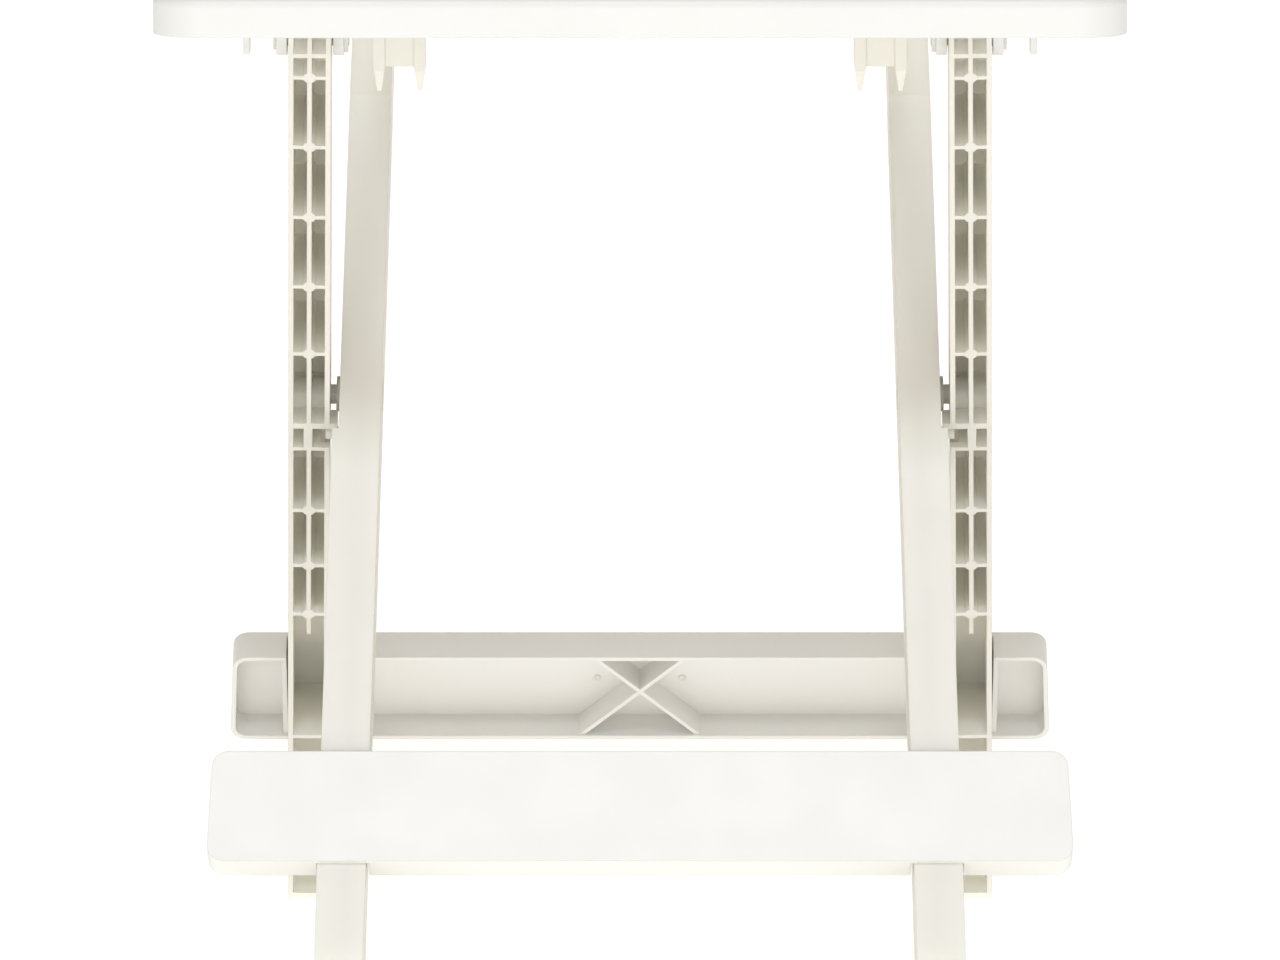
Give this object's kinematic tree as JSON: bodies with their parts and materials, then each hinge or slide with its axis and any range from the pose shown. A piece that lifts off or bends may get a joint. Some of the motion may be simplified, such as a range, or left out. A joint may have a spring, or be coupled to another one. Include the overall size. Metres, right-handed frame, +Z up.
{
  "type": "folding table",
  "caption": "Small folding garden table with a skirted slatted top on crossed scissor legs joined by channel stretchers.",
  "frame": {"origin": "middle of the footprint at the floor", "axes": "+Z up, +X to the right along the width, -Y to the front, where the smooth stretcher is"},
  "size_m": [0.45, 0.43, 0.5],
  "materials": {
    "deck": "satin",
    "legs": "satin",
    "stretchers": "satin",
    "clips": "satin",
    "fittings": "smooth"
  },
  "bodies": {
    "outer_frame": {"outer_leg_left": "legs", "outer_leg_right": "legs", "rear_stretcher": "stretchers", "pivot_pin_left": "fittings", "pivot_pin_right": "fittings", "pivot_clip_left": "fittings", "pivot_clip_right": "fittings"},
    "inner_frame": {"inner_leg_left": "legs", "inner_leg_right": "legs", "front_stretcher": "stretchers", "catch_pin_left": "fittings", "catch_pin_right": "fittings"},
    "deck": {"tabletop": "deck", "hinge_pin_left": "fittings", "hinge_pin_right": "fittings", "hinge_clip_left": "fittings", "hinge_clip_right": "fittings", "rear_catch_left": "clips", "rear_catch_right": "clips", "fold_clip_left": "clips", "fold_clip_right": "clips"}
  },
  "joints": [
    {"name": "leg_scissor", "type": "hinge", "parent": "outer_frame", "child": "inner_frame", "pos_m": [0, 0, 0.281], "axis": [1, 0, 0], "range_deg": [0, 60]},
    {"name": "top_hinge", "type": "hinge", "parent": "outer_frame", "child": "deck", "pos_m": [0, -0.12415, 0.47], "axis": [1, 0, 0], "range_deg": [0, 90]}
  ]
}
